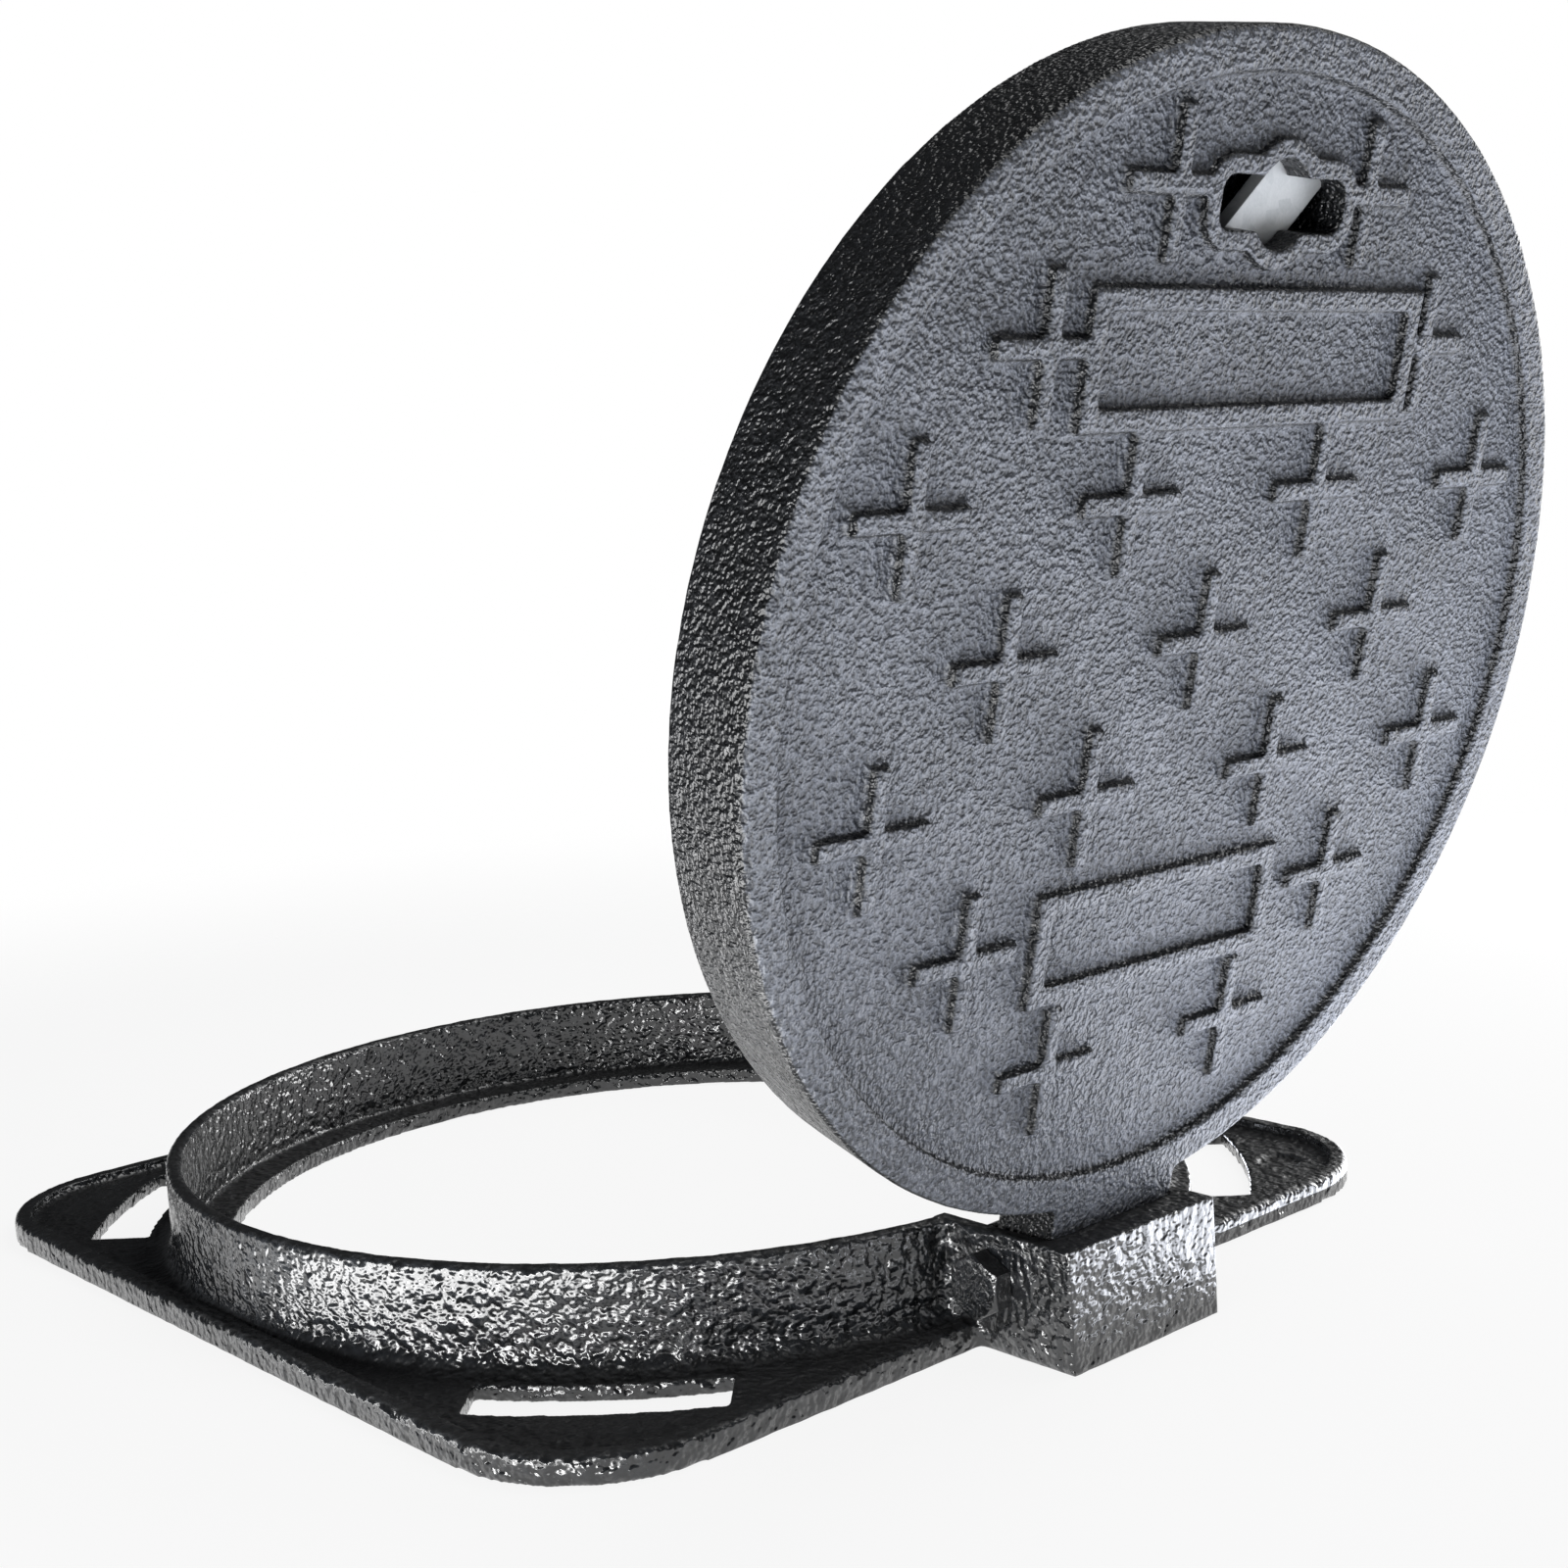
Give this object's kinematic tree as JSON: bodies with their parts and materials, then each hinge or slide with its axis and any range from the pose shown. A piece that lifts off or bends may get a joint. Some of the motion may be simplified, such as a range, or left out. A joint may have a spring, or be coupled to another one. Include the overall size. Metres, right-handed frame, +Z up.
{
  "type": "hinged septic tank access cover",
  "caption": "Round cast iron access cover hinged to a square frame with corner slots, shown open; tread crosses, bare plates and a key hole on the lid.",
  "frame": {"origin": "centre of the round clear opening, on the underside of the flange", "axes": "+Z up, along the clear opening's axis; +X towards the hinge; the hinge bolt runs along Y with its head at -Y"},
  "size_m": [0.4545, 0.354, 0.3501],
  "materials": {
    "cast_iron_bitumen": "rough sand-cast iron under glossy black bitumen paint",
    "painted_fastener": "steel fastener under the same black paint",
    "galvanised_steel": "dull galvanised flat bar"
  },
  "bodies": {
    "frame": {"base_frame": "cast_iron_bitumen", "hinge_bolt": "painted_fastener", "hinge_nut": "painted_fastener"},
    "lid": {"lid": "cast_iron_bitumen", "lift_bar": "galvanised_steel"}
  },
  "joints": [
    {"name": "lid_hinge", "type": "hinge", "parent": "frame", "child": "lid", "pos_m": [0.1815, 0, 0.02], "axis": [0, 1, 0], "range_deg": [-104, 0]}
  ]
}
